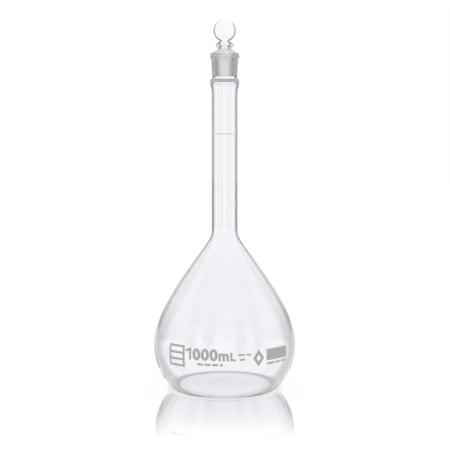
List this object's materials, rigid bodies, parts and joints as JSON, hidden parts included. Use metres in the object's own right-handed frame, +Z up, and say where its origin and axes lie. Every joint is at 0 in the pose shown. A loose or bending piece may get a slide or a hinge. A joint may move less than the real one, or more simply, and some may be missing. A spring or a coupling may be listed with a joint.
{
  "type": "volumetric flask",
  "caption": "Clear glass volumetric flask with a pear-shaped bulb, a long graduated neck and a ground taper stopper with a flat round head, for making up exact solutions.",
  "frame": {"origin": "centre of the foot ring's contact plane, on the flask's axis", "axes": "+Z up along the flask's axis towards the stopper; the printed marks face -Y"},
  "size_m": [0.1266, 0.1269, 0.3268],
  "materials": {
    "clear_glass": "clear fire-polished borosilicate glass",
    "ground_glass": "clear glass with a fine-ground frosted taper",
    "enamel": "fired grey-white enamel print, slightly rough"
  },
  "bodies": {
    "flask": {"bulb": "clear_glass", "neck_tube": "clear_glass", "ground_socket": "ground_glass", "graduation_ring": "enamel", "writing_patch": "enamel", "maker_panel": "enamel", "class_mark": "enamel", "volume_digit_1": "enamel", "volume_digit_2": "enamel", "volume_digit_3": "enamel", "volume_digit_4": "enamel", "unit_letter_m": "enamel", "unit_letter_l": "enamel"},
    "stopper": {"stopper": "ground_glass"}
  },
  "joints": [
    {"name": "stopper_lift", "type": "slide", "parent": "flask", "child": "stopper", "axis": [0, 0, 1], "range_m": [0, 0.06]}
  ]
}
